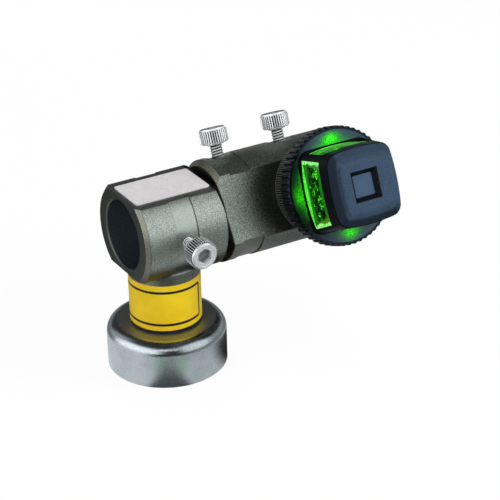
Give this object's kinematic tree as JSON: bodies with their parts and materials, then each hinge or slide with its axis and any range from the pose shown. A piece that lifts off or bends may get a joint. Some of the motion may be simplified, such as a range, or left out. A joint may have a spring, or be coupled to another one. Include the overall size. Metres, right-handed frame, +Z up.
{
  "type": "line laser level",
  "caption": "Laser level head with lit side windows and a square cap on a tilting arm, with a clamp socket for a pole, on a round magnet base.",
  "frame": {"origin": "centre of the magnet face, on the bottom of the base", "axes": "+Z up along the neck, +X along the arm's axis from the pole socket to the laser head, -Y towards the front, where the socket's screw is"},
  "size_m": [0.1025, 0.0793, 0.0891],
  "materials": {
    "magnet_cup": "polished",
    "ring_magnet": "satin",
    "pole_core": "satin",
    "base_stud": "satin",
    "base_washer": "matte",
    "neck_post": "satin",
    "neck_band": "gloss",
    "socket_bracket": "satin",
    "name_plate": "satin",
    "swivel_spigot": "satin",
    "spigot_screw": "satin",
    "friction_washer": "matte",
    "arm_housing": "satin",
    "tilt_pad": "satin",
    "roll_pad": "satin",
    "pole_pad": "satin",
    "tilt_screw": "polished",
    "roll_screw": "polished",
    "pole_screw": "polished",
    "barrel_tube": "satin",
    "friction_rings": "matte",
    "battery_cap": "satin",
    "battery_contact": "satin",
    "battery_cell": "satin",
    "battery_stud": "satin",
    "driver_board": "satin",
    "laser_module": "satin",
    "laser_diode": "satin",
    "collimator_lens": "gloss",
    "knurled_collar": "satin",
    "grip_ring": "satin",
    "head_dish": "satin",
    "dish_screws": "satin",
    "head_cage": "satin",
    "window_frames": "gloss",
    "window_panes": "gloss",
    "beam_pyramid": "polished",
    "head_cap": "matte",
    "tact_switch": "matte",
    "power_button": "matte"
  },
  "bodies": {
    "base": {"magnet_cup": "magnet_cup", "ring_magnet": "ring_magnet", "pole_core": "pole_core", "base_stud": "base_stud", "base_washer": "base_washer", "neck_post": "neck_post", "neck_band": "neck_band", "socket_bracket": "socket_bracket", "name_plate": "name_plate", "swivel_spigot": "swivel_spigot", "spigot_screw": "spigot_screw", "friction_washer": "friction_washer"},
    "arm": {"arm_housing": "arm_housing"},
    "head": {"barrel_tube": "barrel_tube", "knurled_collar": "knurled_collar", "friction_rings": "friction_rings", "battery_cap": "battery_cap", "battery_contact": "battery_contact", "battery_cell": "battery_cell", "battery_stud": "battery_stud", "driver_board": "driver_board", "laser_module": "laser_module", "laser_diode": "laser_diode", "collimator_lens": "collimator_lens", "head_dish": "head_dish", "dish_screws": "dish_screws", "grip_ring": "grip_ring", "head_cage": "head_cage", "window_frames": "window_frames", "window_panes": "window_panes", "beam_pyramid": "beam_pyramid", "head_cap": "head_cap", "tact_switch": "tact_switch"},
    "button": {"power_button": "power_button"},
    "tilt_tip": {"tilt_pad": "tilt_pad"},
    "tilt_knob": {"tilt_screw": "tilt_screw"},
    "roll_tip": {"roll_pad": "roll_pad"},
    "roll_knob": {"roll_screw": "roll_screw"},
    "pole_tip": {"pole_pad": "pole_pad"},
    "pole_knob": {"pole_screw": "pole_screw"}
  },
  "joints": [
    {"name": "arm_tilt", "type": "hinge", "parent": "base", "child": "arm", "pos_m": [0.0282, 0, 0.0564], "axis": [1, 0, 0], "continuous": true},
    {"name": "head_roll", "type": "hinge", "parent": "arm", "child": "head", "pos_m": [0.058, 0, 0.0564], "axis": [0, -0.9239, 0.3827], "continuous": true},
    {"name": "button_press", "type": "slide", "parent": "head", "child": "button", "axis": [0, 0.9239, -0.3827], "range_m": [0, 0.0005], "stiffness_N_per_m": 600, "springref_m": -0.0005},
    {"name": "tilt_feed", "type": "slide", "parent": "arm", "child": "tilt_tip", "axis": [0, 0.3827, 0.9239], "range_m": [0, 0.0016]},
    {"name": "tilt_turn", "type": "hinge", "parent": "tilt_tip", "child": "tilt_knob", "pos_m": [0.0282, 0, 0.0564], "axis": [0, 0.3827, 0.9239], "range_deg": [0, 721]},
    {"name": "roll_feed", "type": "slide", "parent": "arm", "child": "roll_tip", "axis": [0, 0.3827, 0.9239], "range_m": [0, 0.0016]},
    {"name": "roll_turn", "type": "hinge", "parent": "roll_tip", "child": "roll_knob", "pos_m": [0.0547, 0, 0.0564], "axis": [0, 0.3827, 0.9239], "range_deg": [0, 721]},
    {"name": "pole_feed", "type": "slide", "parent": "base", "child": "pole_tip", "axis": [0, 1, 0], "range_m": [0, 0.0016]},
    {"name": "pole_turn", "type": "hinge", "parent": "pole_tip", "child": "pole_knob", "pos_m": [0.0006, 0, 0.0564], "axis": [0, 1, 0], "range_deg": [0, 721]}
  ],
  "couplings": [
    {"joint": "tilt_turn", "follows": "tilt_feed", "rad_per_m": 7854},
    {"joint": "roll_turn", "follows": "roll_feed", "rad_per_m": 7854},
    {"joint": "pole_turn", "follows": "pole_feed", "rad_per_m": 7854}
  ]
}
